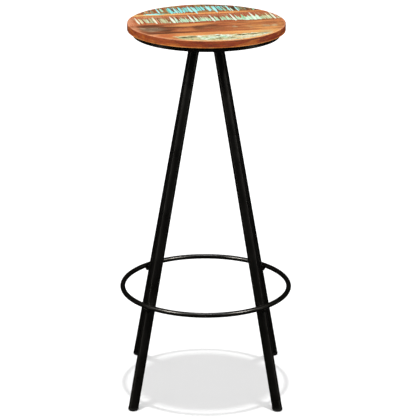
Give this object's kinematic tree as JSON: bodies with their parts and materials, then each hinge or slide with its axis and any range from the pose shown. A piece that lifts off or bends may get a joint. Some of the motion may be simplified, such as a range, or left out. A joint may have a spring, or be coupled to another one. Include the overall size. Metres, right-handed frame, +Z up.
{
  "type": "bar stool",
  "caption": "Backless bar stool: round seat of painted reclaimed boards on a black steel pan, splayed round tube legs and a ring footrest.",
  "frame": {"origin": "on the floor, at the centre of the four feet, below the centre of the seat", "axes": "+Z up, -Y towards the front of the stool, +X to its right as seen from the front"},
  "size_m": [0.3476, 0.3476, 0.761],
  "materials": {
    "board_front": "weathered pale green paint, worn to bare orange-brown wood",
    "board_middle_front": "bare orange-brown hardwood, oiled, with dark streaks",
    "board_middle_back": "worn mint green paint over bare brown wood",
    "board_back": "worn cyan paint with saw marks over bare brown wood",
    "dowel_wood": "plain beech",
    "black_steel": "black powder coat, low gloss",
    "black_weld": "weld bead under black powder coat",
    "black_plastic": "matt black moulded plastic",
    "zinc_steel": "bright zinc plate",
    "insert_steel": "plain plated steel"
  },
  "bodies": {
    "root": {"seat_board_front": "board_front", "seat_board_middle_front": "board_middle_front", "seat_board_middle_back": "board_middle_back", "seat_board_back": "board_back", "seat_dowels": "dowel_wood", "seat_pan": "black_steel", "seat_screws": "zinc_steel", "frame_top_plate": "black_steel", "leg_back_right": "black_steel", "leg_back_left": "black_steel", "leg_front_left": "black_steel", "leg_front_right": "black_steel", "leg_weld_back_right": "black_weld", "leg_weld_back_left": "black_weld", "leg_weld_front_left": "black_weld", "leg_weld_front_right": "black_weld", "foot_cap_back_right": "black_plastic", "foot_cap_back_left": "black_plastic", "foot_cap_front_left": "black_plastic", "foot_cap_front_right": "black_plastic", "footrest_weld_back_right": "black_weld", "footrest_weld_back_left": "black_weld", "footrest_weld_front_left": "black_weld", "footrest_weld_front_right": "black_weld", "footrest_ring": "black_steel", "frame_bolts": "zinc_steel", "frame_bolt_washers": "zinc_steel", "threaded_inserts": "insert_steel"}
  },
  "joints": []
}
